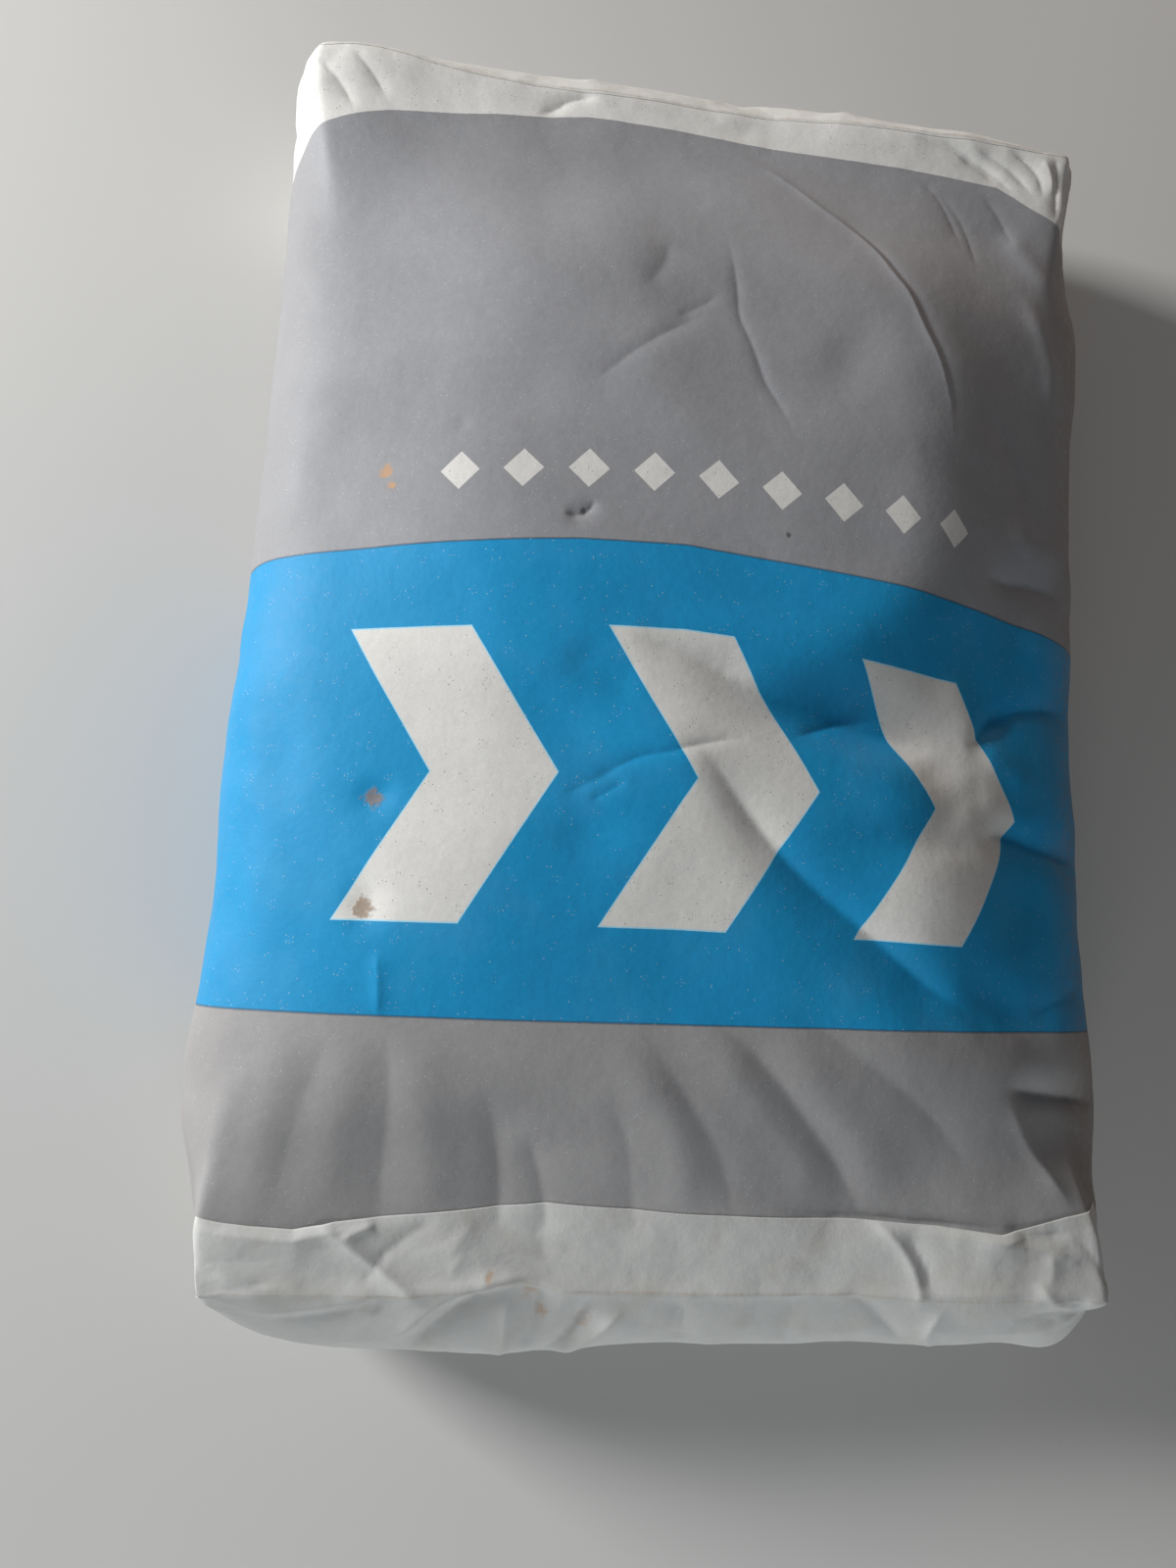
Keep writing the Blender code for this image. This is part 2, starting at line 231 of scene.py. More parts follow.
# Folds of the cover sheets, on the same unrolled sheet. Their valleys are pressed into the sack beneath
NEAR_CAP_FOLDS = [
    (1.6, 3, [(-152, -231), (-134, -247), (-116, -263), (-96, -280)]),
    (1.3, 2, [(-136, -246), (-129, -242), (-122, -239)]),
    (-0.8, 3, [(-98, -235), (-106, -241), (-113, -247), (-120, -255)]),
    (0.4, 3, [(-88, -252), (-91, -259), (-92, -267)]),
    (-0.7, 2, [(-126, -268), (-120, -257), (-117, -248)]),
    (1.2, 2.5, [(76, -234), (88, -243), (95, -253), (99, -264), (101, -280)]),
    (-1.5, 5, [(92, -240), (100, -250), (104, -260), (105, -272)]),
    (1.4, 4, [(119, -246), (137, -247), (152, -249), (166, -252), (176, -259)]),
    (-1.2, 4, [(138, -239), (150, -243), (162, -244), (172, -243)]),
    (0.7, 3, [(158, -250), (159, -257), (156, -266)]),
    (-0.8, 2.5, [(170, -243), (178, -249), (184, -258), (186, -266)]),
    (0.7, 3, [(180, -238), (186, -247), (189, -256), (184, -268)]),
    (-1.4, 2.5, [(178, -268), (162, -277), (140, -281)]),
    (1.1, 2.5, [(150, -262), (158, -272), (172, -280)]),
    (1.5, 2, [(-178, -277), (-166, -272), (-150, -270), (-100, -270), (-71, -269), (-38, -271), (26, -271),
                (76, -270), (130, -268), (166, -268), (184, -271)]),
    (-1, 2.5, [(-184, -262), (-174, -268), (-164, -267), (-154, -263)]),
    (-3.6, 5, [(-66, -271), (-79, -274), (-90, -280), (-98, -290), (-102, -306)]),
    (2.4, 4.5, [(-62, -268), (-78, -269), (-94, -273), (-104, -282), (-110, -298)]),
    (2, 4, [(-69, -270), (-68, -282), (-66, -298), (-68, -314)]),
    (-2.4, 4, [(-56, -268), (-57, -282), (-57, -304)]),
    (-3.6, 5, [(-36, -270), (-38, -282), (-44, -298), (-52, -314)]),
    (2.6, 4, [(-20, -276), (-28, -288), (-36, -300), (-46, -318)]),
    (-2.4, 4, [(-1, -270), (2, -282), (3, -300)]),
    (-1.8, 3.5, [(66, -267), (82, -278), (99, -302)]),
    (-1.4, 3.5, [(150, -286), (162, -281), (178, -275)]),
    (1.3, 3, [(128, -292), (150, -289), (176, -280)]),
    (-1.5, 3.5, [(-160, -290), (-142, -283), (-131, -279), (-120, -276)]),
    (-1, 2.5, [(-122, -272), (-117, -280)]),
    (0.7, 5, [(-150, -312), (-134, -300), (-112, -292)]),
    (1.3, 3.5, [(-183, -272), (-162, -282), (-139, -276), (-112, -269)]),
    (-0.6, 5, [(-62, -236), (-57, -248), (-55, -262)]),
    (0.6, 5, [(-84, -236), (-90, -246), (-94, -256)]),
    (-0.5, 4, [(30, -262), (34, -272), (30, -290)]),
    (1.1, 3.5, [(6, -268), (0, -280), (4, -296)]),
    (-1.2, 3, [(52, -268), (44, -284), (50, -306)]),
    (1.2, 3, [(112, -272), (104, -290), (112, -312)]),
]
FAR_CAP_FOLDS = [
    (1, 3, [(150, 268), (160, 280), (158, 300), (164, 330)]),
    (-1.4, 3, [(166, 266), (172, 284), (170, 310)]),
    (-1.6, 4, [(-170, 272), (-150, 289), (-120, 304), (-90, 306)]),
    (1.1, 4, [(-60, 276), (-48, 290), (-52, 312)]),
    (-1, 4, [(10, 274), (24, 296), (16, 330)]),
    (1.1, 3.5, [(60, 278), (76, 294), (70, 320)]),
    (-1.2, 4, [(104, 276), (124, 300), (140, 306)]),
]

# The cloth simulation that fills the paper
SIM_STEP = 5 * MM
SIM_FRAMES = 12
SIM_HOLD = 0.2
SIM_GAP = 1 * MM
SIM_STIFFNESS = 500
SIM_SETTINGS = {
    "quality": 5,
    "mass": 0.01,
    "tension_stiffness": SIM_STIFFNESS,
    "compression_stiffness": SIM_STIFFNESS,
    "shear_stiffness": SIM_STIFFNESS / 3,
    "bending_stiffness": 40,
    "use_pressure": True,
    "use_pressure_volume": True,
    "target_volume": 0.0234,
    "uniform_pressure_force": 0,
    "pressure_factor": 50,
}

# Folds taper off over this share of their length at each end, and the tip of a sharp one is rounded
FOLD_TAPER = 0.3
TIP_ROUNDING = 0.8

# How far beside a fold wear and a finer mesh are looked for, how near a sharp fold the mesh is finer, and up
# to which width of the fold and how near it is finer still
NEARBY = 6
FINER_REACH = 3.2
FINEST_FOLD = 3.2
FINEST_REACH = 1.7

# How many of the sack's lowest points are laid on the floor
LAID_FLAT = 40

# The cover sheets: squares across, above the fold, down the end and beneath, and the paper itself
CAP_COLUMNS = 370
CAP_ROWS = (42, 64, 8)
UNDER_LAP = 36
GLUE_GAP = 0.12
CAP_PAPER = 0.22 * MM
THIN_EDGE = 0.25

# The valve sleeve's mouth
MOUTH_COLUMNS = 44
MOUTH_ROWS = 9
MOUTH_INSIDE = 8 * MM
MOUTH_LENGTH = 12 * MM

# The print's straight edges across the bag, and where the gathered paper carries them:
# (u, blue edge, white edge)
BAND_NEAR = -158
BAND_FAR = 35
WHITE_FROM = 252
PRINT_EDGES = [(-240, 27, 222), (-207, 28.5, 227), (-183, 29, 231), (-166, 29.5, 236), (-149, 30, 241),
               (-100, 32, 250), (-57, 35, 255), (-13, 36, 254), (40, 31, 251), (101, 25, 249), (146, 22, 247),
               (165, 20, 238), (185, 18, 231), (215, 15, 222)]

CHEVRON_MIDDLE = -61 * MM
CHEVRON_HEIGHT = 119 * MM
CHEVRON_PITCH = 106 * MM
CHEVRON_STROKE = 50 * MM
CHEVRON_LEAN = 0.62
CHEVRON_START = -140 * MM
CHEVRON_COUNT = 3
DIAMOND_ROW = 66 * MM
DIAMOND_PITCH = 27 * MM
DIAMOND_SIZE = 8.5 * MM
DIAMOND_REACH = 121.5 * MM
HOLE_PITCH = 15.2 * MM
HOLE_ROWS = 13 * MM
HOLE_GROUP = 2.6 * MM
HOLE_SPACING = 1.5 * MM
HOLE_RADIUS = 0.27 * MM
PRINT_BLUR = 0.1 * MM

# Spots on the sheet: (u, v, radius)
TEARS = [(-135, -72, 5), (-137, -116, 5.5)]
RUST_MARKS = [(-141, 69, 3.6), (-138, 62, 2.4)]
SMUDGES = [(-56, 47, 1.8), (30, 47, 1.5)]
COVER_RUST = [(-77, -266, 3.2), (-61, -276, 5), (-54, -283, 3.5), (-36, -285, 4.5), (168, 262, 6),
              (180, 256, 5)]

PAPER_WHITE = (0.74, 0.735, 0.715)
# The near band's grey print, partly its own colour and partly painted light that lightens it where the band
# slopes down towards the near end
NEAR_GREY_AND_PAINTED_LIGHT = (0.345, 0.342, 0.348)
GREY_FAR = (0.315, 0.32, 0.342)
BLUE = (0.012, 0.30, 0.61)
OVERPRINT = (0.03, 0.07, 0.12)
HALO = (0.52, 0.82, 0.95)
HOLE_IN_INK = (0.70, 0.74, 0.76)
HOLE_IN_PAPER = (0.16, 0.14, 0.12)
TORN = (0.30, 0.20, 0.12)
RUST = (0.62, 0.33, 0.13)
SMUDGE = (0.09, 0.08, 0.08)
DUST = (0.60, 0.60, 0.58)
# The brown of the painted shade on the sack's flanks
FLANK_SHADE_BROWN = (0.22, 0.17, 0.13)
COVER_WHITE = (0.585, 0.595, 0.585)
SOILED = (0.47, 0.43, 0.35)
RUBBED_FOLD = (0.50, 0.37, 0.25)
RUST_STAIN = (0.50, 0.27, 0.11)
KRAFT = (0.42, 0.29, 0.17)

# The photograph's view, with its turn as a rotation vector, and the soft lights:
# (name, place, size, power, colour)
VIEW_PLACE = (-0.1016 + MIDDLE, -0.1268, 0.5379)
VIEW_TURN = Vector((0.1447, -0.1268, 0.0468))
SENSOR = 36
FOCAL_SHARE = 1110 / 1600
LIGHTS = [
    ("key", (-1.86, 0.68, 0.76), 0.5, 60, (1, 0.99, 0.97)),
    ("fill", (0.05, -1.4, 0.38), 0.8, 7, (0.97, 0.99, 1)),
    ("bounce", (0.8, 1.5, 0.3), 0.8, 3.6, (1, 0.7, 0.5)),
]
SKY = (0.9, 0.95, 1)
SKY_STRENGTH = 0.09
FLOOR = (0.62, 0.62, 0.61)


def smooth_step(value):
    value = np.clip(value, 0.0, 1.0)
    return value * value * (3 - 2 * value)


def bell(distance, width):
    return np.exp(-((distance / width) ** 2))


def quarter_outline(half_width, rise, power, shares):
    """Points (out, up) of a superellipse, at shares of its length from its widest point to its crown."""
    turn = np.linspace(0, np.pi / 2, 300)
    out = half_width * np.maximum(np.cos(turn), 0) ** (2 / power)
    up = rise * np.sin(turn) ** (2 / power)
    length = np.concatenate([[0], np.cumsum(np.hypot(np.diff(out), np.diff(up)))])
    return np.interp(shares * length[-1], length, out), np.interp(shares * length[-1], length, up)


def end_shape(across, up, corner_power):
    """(x, out, z) on a block end, with out the distance past its folds."""
    x = across * (HALF_END + EDGE_SWELL * (1 - up**2))
    out = END_SWELL * (1 - up**2) * (1 - np.abs(across) ** corner_power)
    return x, out, (FOLD_TOP + FOLD_BOTTOM) / 2 + up * (FOLD_TOP - FOLD_BOTTOM) / 2


def tube_shape(across, up, reach):
    """(x, z) on the tube's section, with reach from 0 in the middle of the bag to 1 at an end's folds."""
    side = PAPER[2] / (PAPER[2] + PAPER[0])
    on_side = np.abs(across) == 1
    share = np.where(on_side, side * np.abs(up), side + (1 - side) * (1 - np.abs(across)))
    crown = FOLD_TOP + (CROWN - FOLD_TOP) * (1 - reach**CROWN_POWER)
    floor = FOLD_BOTTOM * max(0.0, (reach - FOOT_SHARE) / (1 - FOOT_SHARE)) ** 2
    high_x, rise = quarter_outline(HALF_WIDTH, crown - SIDE_HEIGHT, TOP_POWER, share)
    low_x, drop = quarter_outline(HALF_WIDTH, (SIDE_HEIGHT - floor) * FOOT_DEPTH, FOOT_POWER, share)
    round_x = np.sign(across) * np.where(up > 0, high_x, low_x)
    round_z = np.where(up > 0, SIDE_HEIGHT + rise, np.maximum(SIDE_HEIGHT - drop, floor))
    square_x, _, square_z = end_shape(across, up, FAR_END_POWER)
    square_x = np.where(on_side, square_x, across * HALF_END)
    square = smooth_step((reach - SQUARE_FROM) / (1 - SQUARE_FROM))
    return round_x + square * (square_x - round_x), round_z + square * (square_z - round_z)


def paper_box(step):
    """The box that the sack folds into, as (numbered places, counts, faces), with the places as (i, j, k).

    The underside has squares of twice the size, with the extra corners that they need along its border.
    """
    counts = [2 * round(length / step / 2) for length in PAPER]
    last_i, last_j, last_k = counts
    numbers = {}
    faces = []

    def add(corners, outward):
        face = [numbers.setdefault(corner, len(numbers)) for corner in corners]
        faces.append(face if outward else face[::-1])

    def squares(last_a, last_b):
        for a, b in product(range(last_a), range(last_b)):
            yield (a, b), (a + 1, b), (a + 1, b + 1), (a, b + 1)

    border = [(0, 0), (1, 0), (2, 0), (2, 1), (2, 2), (1, 2), (0, 2), (0, 1)]
    for i, j in product(range(0, last_i, 2), range(0, last_j, 2)):
        ring = [(i + a, j + b) for a, b in border]
        add([(a, b, 0) for a, b in ring if (a + b) % 2 == 0 or a in (0, last_i) or b in (0, last_j)], False)
    for square in squares(last_i, last_j):
        add([(i, j, last_k) for i, j in square], True)
    for square in squares(last_j, last_k):
        add([(last_i, j, k) for j, k in square], True)
        add([(0, j, k) for j, k in square], False)
    for square in squares(last_i, last_k):
        add([(i, 0, k) for i, k in square], True)
        add([(i, last_j, k) for i, k in square], False)
    return np.array(list(numbers)), np.array(counts), faces


def drawn_shape(places, counts):
    """The bag's shape before the simulation."""
    across, along, up = (2 * places / counts - 1).T
    shape = np.zeros(places.shape)
    for station in range(counts[1] + 1):
        here = places[:, 1] == station
        reach = abs(2 * station / counts[1] - 1)
        if station in (0, counts[1]):
            x, out, z = end_shape(across[here], up[here], FAR_END_POWER if station else NEAR_END_POWER)
            y = along[here] * (HALF_BODY + out)
        else:
            x, z = tube_shape(across[here], up[here], reach)
            y = along[here] * HALF_BODY
        shape[here] = np.stack([x, y, z], axis=1)
    pull = bell(np.linalg.norm(shape - EAR, axis=1), EAR_REACH)
    return shape + pull[:, None] * np.array(EAR_MOVE) * MM


def filled(shape, paper, faces):
    """The points after a cloth simulation that fills the paper with the cement's volume."""
    sack = new_object("filling", shape, faces)
    sack.shape_key_add(name="Basis")
    flat = sack.shape_key_add(name="paper")
    flat.data.foreach_set("co", paper.astype(np.float32).ravel())
    hold = sack.vertex_groups.new(name="hold")
    hold.add(list(range(len(shape))), SIM_HOLD, "REPLACE")
    bpy.ops.mesh.primitive_plane_add(size=2)
    ground = bpy.context.object
    ground.modifiers.new("collision", "COLLISION")
    ground.collision.thickness_outer = SIM_GAP
    cloth = sack.modifiers.new("cloth", "CLOTH")
    cloth.collision_settings.distance_min = SIM_GAP
    cloth.settings.rest_shape_key = flat
    cloth.settings.vertex_group_mass = hold.name
    cloth.settings.effector_weights.gravity = 0
    for name, value in SIM_SETTINGS.items():
        setattr(cloth.settings, name, value)
    for step in range(1, SIM_FRAMES + 1):
        bpy.context.scene.frame_set(step)
    evaluated = sack.evaluated_get(bpy.context.evaluated_depsgraph_get())
    result = vectors_of(evaluated.data.vertices, "co")
    bpy.data.objects.remove(sack)
    bpy.data.objects.remove(ground)
    return result


def settled(points):
    """The shape with its long sides drawn in, where the cement has settled away from them."""
    stations, right, left = np.array(SETTLING).T * MM
    x, y, z = points.T
    pull = np.where(x > 0, np.interp(y, stations, right), np.interp(y, stations, left))
    sag = np.where(x > 0, bell(y - SAG_PLACE, SAG_LENGTH), 0)
    inward = smooth_step((np.abs(x) - 70 * MM) / (120 * MM))
    shoulder = smooth_step((np.abs(x) - (80 - 60 * sag) * MM) / ((80 + 35 * sag) * MM))
    shoulder *= smooth_step((z - 25 * MM) / (35 * MM))
    drawn_in = x - np.sign(x) * pull * inward * SETTLED_IN
    return np.stack([drawn_in, y, z - pull * shoulder * SETTLED_DOWN], axis=1)


def vectors_of(elements, name):
    values = np.empty(len(elements) * 3, np.float32)
    elements.foreach_get(name, values)
    return values.reshape(-1, 3).astype(float)


def read_off(table, values):
    return np.interp(values, *np.array(table).T)


def placed(name, data):
    thing = bpy.data.objects.new(name, data)
    bpy.context.scene.collection.objects.link(thing)
    return thing


def new_object(name, points, faces):
    mesh = bpy.data.meshes.new(name)
    mesh.from_pydata(np.asarray(points).tolist(), [], faces)
    mesh.shade_smooth()
    return placed(name, mesh)


def store(thing, name, values):
    """Keeps a number or a vector for each point, for the materials."""
    values = np.asarray(values, np.float32)
    kind, key = ("FLOAT", "value") if values.ndim == 1 else ("FLOAT_VECTOR", "vector")
    attribute = thing.data.attributes.new(name, kind, "POINT")
    attribute.data.foreach_set(key, values.ravel())


def store_sheet(thing, sheet):
    store(thing, "sheet", np.insert(sheet, 2, 0, axis=1) * MM)


def apply_modifiers(thing):
    evaluated = thing.evaluated_get(bpy.context.evaluated_depsgraph_get())
    mesh = bpy.data.meshes.new_from_object(evaluated)
    thing.modifiers.clear()
    thing.data = mesh


def add_finer(thing):
    finer = thing.modifiers.new("finer", "SUBSURF")
    finer.levels = finer.render_levels = 1


def add_thickness(thing):
    thick = thing.modifiers.new("thickness", "SOLIDIFY")
    thick.thickness = CAP_PAPER
    thick.offset = 1
    return thick


def paper_places(thing):
    """Where each point was on the paper box."""
    return vectors_of(thing.data.attributes["paper"].data, "vector")


def unrolled(paper):
    """Places (u, v) on the unrolled sheet, in millimetres, of places on the paper box."""
    x, y, z = paper.T / MM
    down = HALF_BLOCK - z
    on_side = np.abs(x) > HALF_PANEL - 0.1
    on_end = (np.abs(y) > HALF_TUBE - 0.1) & ~on_side
    beneath = (down > 2 * HALF_BLOCK - 0.1) & ~on_side & ~on_end
    round_under = 2 * HALF_PANEL + 2 * HALF_BLOCK - np.abs(x)
    u = np.where(on_side, np.sign(x) * (HALF_PANEL + down), np.where(beneath, np.sign(x) * round_under, x))
    v = np.where(on_end, np.sign(y) * (HALF_TUBE + down), y)
    return np.stack([u, v], axis=1)


def rounded(points):
    """A line of points with its corners cut twice, which rounds it."""
    points = np.array(points, float)
    for _ in range(2):
        early = points[:-1] * 0.75 + points[1:] * 0.25
        late = points[:-1] * 0.25 + points[1:] * 0.75
        cut = np.stack([early, late], axis=1).reshape(-1, 2)
        points = np.concatenate([points[:1], cut, points[-1:]])
    return points


def off_line(sheet, points):
    """How far each place is from a line, and at what share of its length it is nearest."""
    steps = np.diff(points, axis=0)
    lengths = np.linalg.norm(steps, axis=1)
    nearest = np.full(len(sheet), np.inf)
    share = np.zeros(len(sheet))
    done = 0.0
    for start, step, length in zip(points, steps, lengths):
        along = np.clip((sheet - start) @ step / length**2, 0, 1)
        distance = np.linalg.norm(sheet - start - along[:, None] * step, axis=1)
        closer = distance < nearest
        nearest[closer] = distance[closer]
        share[closer] = (done + along[closer] * length) / lengths.sum()
        done += length
    return nearest, share


def beside_fold(sheet, points, reach):
    """The numbers of the places near a fold, how far each is from it, and how much of the fold is left."""
    line = rounded(points)
    near = np.all((sheet > line.min(axis=0) - reach) & (sheet < line.max(axis=0) + reach), axis=1)
    numbers = np.flatnonzero(near)
    distance, share = off_line(sheet[numbers], line)
    return numbers, distance, smooth_step(np.minimum(share, 1 - share) / FOLD_TAPER)


def pressed(sheet, folds, sharp):
    """The height that folds add to each place, in millimetres."""
    height = np.zeros(len(sheet))
    for rise, width, points in folds:
        here, distance, taper = beside_fold(sheet, points, 5 * width)
        if sharp:
            profile = np.exp(-(np.hypot(distance, TIP_ROUNDING) - TIP_ROUNDING) / width)
        else:
            profile = bell(distance, width)
        height[here] += rise * taper * profile
    return height


def dented(sheet):
    height = np.zeros(len(sheet))
    for depth, along, across, turn, place in DENTS:
        offset = sheet - place
        turn = math.radians(turn)
        first = offset @ (math.cos(turn), math.sin(turn)) / along
        second = offset @ (-math.sin(turn), math.cos(turn)) / across
        height -= depth * np.exp(-(first**2 + second**2))
    return height


def lumps(paper, wavelength, seed):
    """Smooth random heights from about -1 to 1, from waves in random directions."""
    rng = np.random.default_rng(seed)
    count = 14
    directions = rng.normal(size=(count, 3))
    directions /= np.linalg.norm(directions, axis=1)[:, None]
    lengths = wavelength * rng.uniform(0.7, 1.5, count)
    phases = rng.uniform(0, 2 * np.pi, count)
    waves = np.sin(paper @ (directions / lengths[:, None]).T * 2 * np.pi + phases)
    return waves.sum(axis=1) / np.sqrt(count)


def facets(sheet, spacing, seed):
    """Random heights from -1 to 1 as flat facets with straight folds between them, as in crumpled paper."""
    rng = np.random.default_rng(seed)
    low = sheet.min(axis=0) - 2 * spacing
    high = sheet.max(axis=0) + 2 * spacing
    columns = np.arange(low[0], high[0], spacing)
    rows = np.arange(low[1], high[1], spacing)
    corners = np.stack(np.meshgrid(columns, rows), axis=-1).reshape(-1, 2)
    corners += rng.uniform(-0.45, 0.45, corners.shape) * spacing
    heights = rng.uniform(-1, 1, len(corners))
    found = delaunay_2d_cdt([Vector(corner) for corner in corners], [], [], 0, 1e-5)
    tree = BVHTree.FromPolygons([(x, y, h) for (x, y), h in zip(corners, heights)], found[2])
    down = Vector((0, 0, -1))
    return np.array([tree.ray_cast(Vector((u, v, 2)), down)[0].z for u, v in sheet])


def relief(sheet, paper):
    """How far each place of the sack stands out from its smooth shape, in millimetres."""
    u, v = np.abs(sheet).T
    side = smooth_step((u - 150) / 60)
    end = smooth_step((v - 212) / 55)
    above = 1 - smooth_step((u - 225) / 65)
    crumple = (0.10 + 0.42 * side + 0.45 * end + 1.1 * side * end) * (0.25 + 0.75 * above)
    height = pressed(sheet, SOFT_FOLDS, False) + pressed(sheet, SHARP_FOLDS, True) + dented(sheet)
    height += pressed(sheet, [fold for fold in NEAR_CAP_FOLDS + FAR_CAP_FOLDS if fold[0] < 0], True)
    height += above * (1.1 * lumps(paper, 105 * MM, 5) + 0.35 * lumps(paper, 42 * MM, 6))
    height += crumple * (facets(sheet, 21, 7) + 0.45 * facets(sheet, 9.5, 8))
    return height


def refine(sack, widest, reach):
    """Halves the squares within reach of the sharp folds that are no wider than widest."""
    sheet = unrolled(paper_places(sack))
    close = np.zeros(len(sheet), bool)
    for _, width, points in SHARP_FOLDS:
        if width <= widest:
            here, distance, _ = beside_fold(sheet, points, NEARBY)
            close[here[distance < reach]] = True
    shaped = bmesh.new()
    shaped.from_mesh(sack.data)
    edges = [edge for edge in shaped.edges if close[edge.verts[0].index] and close[edge.verts[1].index]]
    bmesh.ops.subdivide_edges(shaped, edges=edges, cuts=1, use_grid_fill=True)
    shaped.to_mesh(sack.data)
    shaped.free()


def smooth_sack():
    """The filled sack without its folds, with a mesh that is finer where the sharp ones come."""
    places, counts, faces = paper_box(SIM_STEP)
    paper = (2 * places / counts - 1) * PAPER / 2
    shape = drawn_shape(places, counts)
    shape = filled(shape, paper, faces)
    shape = settled(shape)
    shape[:, 0] += MIDDLE
    sack = new_object("printed_sack", shape, faces)
    store(sack, "paper", paper)
    add_finer(sack)
    apply_modifiers(sack)
    refine(sack, math.inf, FINER_REACH)
    refine(sack, FINEST_FOLD, FINEST_REACH)
    return sack


def build_sack():
    sack = smooth_sack()
    points = vectors_of(sack.data.vertices, "co")
    normals = vectors_of(sack.data.vertices, "normal")
    paper = paper_places(sack)
    sheet = unrolled(paper)
    points += normals * relief(sheet, paper)[:, None] * MM
    for place, along, reach, move in PULLED_CORNERS:
        away = np.linalg.norm((paper - np.array(place) * MM) * (1, along, 1), axis=1)
        points += bell(away, reach * MM)[:, None] * np.array(move) * MM
    pushed = read_off(NEAR_FOLD, sheet[:, 0]) * bell(sheet[:, 1] + HALF_TUBE, NEAR_FOLD_REACH)
    points[:, 1] += np.where(np.abs(sheet[:, 0]) < HALF_PANEL + 30, pushed, 0) * MM
    points[:, 2] -= np.sort(points[:, 2])[LAID_FLAT]
    points[:, 2] = np.maximum(points[:, 2], 0)
    sack.data.vertices.foreach_set("co", points.astype(np.float32).ravel())
    sack.data.update()
    store_sheet(sack, printed_place(sheet))
    store(sack, "wear", worn(sheet, SHARP_FOLDS))
    return sack


def printed_place(sheet):
    """Places on the sheet moved so that the print's straight edges lie as the gathered paper carries them."""
    u, v = sheet.T
    stations, *edges = np.array(PRINT_EDGES).T
    blue, white = (np.interp(u, stations, edge) for edge in edges)
    in_band = BAND_NEAR + (v - BAND_NEAR) * (BAND_FAR - BAND_NEAR) / (blue - BAND_NEAR)
    beyond = BAND_FAR + (v - blue) * (WHITE_FROM - BAND_FAR) / (white - blue)
    margin = WHITE_FROM + v - white
    moved = np.where(v < BAND_NEAR, v, np.where(v < blue, in_band, np.where(v < white, beyond, margin)))
    return np.stack([u, moved], axis=1)


def worn(sheet, folds):
    """How worn each place is, from 0 to 1: along folds and along the edges of the block ends."""
    wear = bell(np.abs(sheet[:, 1]) - HALF_TUBE, 1.0)
    for rise, width, points in folds:
        here, distance, taper = beside_fold(sheet, points, NEARBY)
        strength = min(abs(rise) / width, 0.8) * taper
        wear[here] = np.maximum(wear[here], strength * bell(distance, 1.1))
    return wear


def cap_places(edge, sides):
    """Places (u, s) of a cover sheet's grid, with s measured from the top fold down the end, and its counts.

    Each of the two sides is (u at the fold, u at the free edge).
    """
    above, down, beneath = CAP_ROWS
    share = np.linspace(0, 1, CAP_COLUMNS + 1)
    at_fold, at_edge = (low + (high - low) * share for low, high in zip(*sides))
    reach = read_off(edge, at_edge)
    rows = [(at_fold + (at_edge - at_fold) * out, -reach * out) for out in 1 - np.arange(above) / above]
    down_end = np.arange(down) / down
    under = 2 * HALF_BLOCK + UNDER_LAP * np.arange(beneath + 1) / beneath
    for s in (*(2 * HALF_BLOCK * (0.5 * down_end + 0.5 * down_end**2)), *under):
        rows.append((at_fold, np.full(len(share), s)))
    return np.concatenate([np.stack(row, axis=1) for row in rows]), len(rows), len(share)


def on_paper_box(places, end):
    """The places on the paper box of (u, s) on a cover sheet at one end, which is -1 near or 1 far."""
    u, s = places.T
    x = np.clip(u, -HALF_PANEL, HALF_PANEL)
    past_side = np.maximum(np.abs(u) - HALF_PANEL, 0)
    turned = past_side * smooth_step(s / 12)
    y = HALF_TUBE + np.minimum(s, 0) - np.maximum(s - 2 * HALF_BLOCK, 0) - turned
    z = np.maximum(HALF_BLOCK - np.clip(s, 0, 2 * HALF_BLOCK) - past_side + turned, -HALF_BLOCK)
    return np.stack([x, end * y, z], axis=1) * MM


def follow_sack(sack, box_places):
    """The sack's points and normals at places on the paper box."""
    points = vectors_of(sack.data.vertices, "co")
    normals = vectors_of(sack.data.vertices, "normal")
    faces = [list(face.vertices) for face in sack.data.polygons]
    corners = [Vector(place) for place in paper_places(sack)]
    tree = BVHTree.FromPolygons(corners, faces)
    found = []
    for place in box_places:
        nearest, _, index, _ = tree.find_nearest(Vector(place))
        face = faces[index]
        weights = np.array(poly_3d_calc([corners[corner] for corner in face], nearest))
        found.append((weights @ points[face], weights @ normals[face]))
    points, normals = np.array(found).transpose(1, 0, 2)
    return points, normals / np.linalg.norm(normals, axis=1)[:, None]


def cap_crumple(sheet, s, seed):
    """The crumpling of a cover sheet, which is strongest at its corners, in millimetres."""
    corner = smooth_step((np.abs(sheet[:, 0]) - 140) / 40)
    crumple = 0.4 + 0.6 * smooth_step(s / 10)
    height = (0.12 + 0.25 * corner) * crumple * (1 + facets(sheet, 17, seed))
    height += ((0.06 + 0.25 * corner) * crumple * (1 + facets(sheet, 8, seed + 1))
               + 0.03 * (1 + facets(sheet, 4.2, seed + 2)))
    return height


